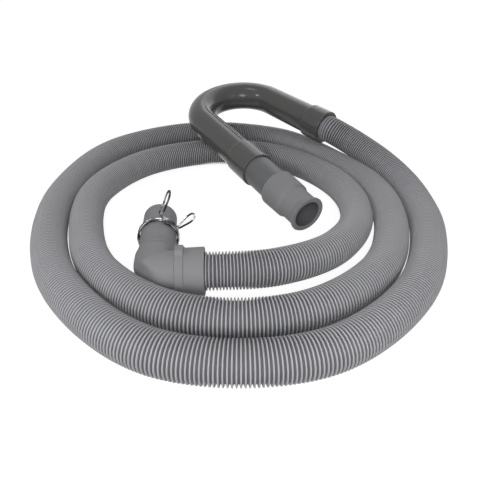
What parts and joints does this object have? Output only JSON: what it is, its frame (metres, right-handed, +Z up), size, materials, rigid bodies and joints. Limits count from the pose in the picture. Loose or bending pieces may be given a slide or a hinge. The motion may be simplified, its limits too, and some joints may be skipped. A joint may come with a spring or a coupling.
{
  "type": "washing machine drain hose",
  "caption": "Ribbed drain hose lying coiled, with an elbow boot and spring clamp at the pump end, and a rigid gooseneck with an end adaptor at the outlet.",
  "frame": {"origin": "on the floor, under the middle of the box round the end fittings (elbow boot, clamp, gooseneck, outlet tube and adaptor)", "axes": "+Z up from the floor, +X to the right and +Y away from a viewer who stands at the elbow's side of the coil"},
  "size_m": [0.3441, 0.4068, 0.0715],
  "materials": {
    "hose": "satin grey polypropylene",
    "elbow": "matte grey rubber",
    "clamp": "bright plated spring wire",
    "gooseneck": "glossy dark grey moulded plastic",
    "outlet": "semi-gloss dark grey plastic",
    "adaptor": "matte light grey rubber"
  },
  "bodies": {
    "root": {"corrugated_hose": "hose", "elbow_boot": "elbow", "spring_clamp": "clamp", "gooseneck_pipe": "gooseneck", "outlet_tube": "outlet", "end_adaptor": "adaptor"}
  },
  "joints": []
}
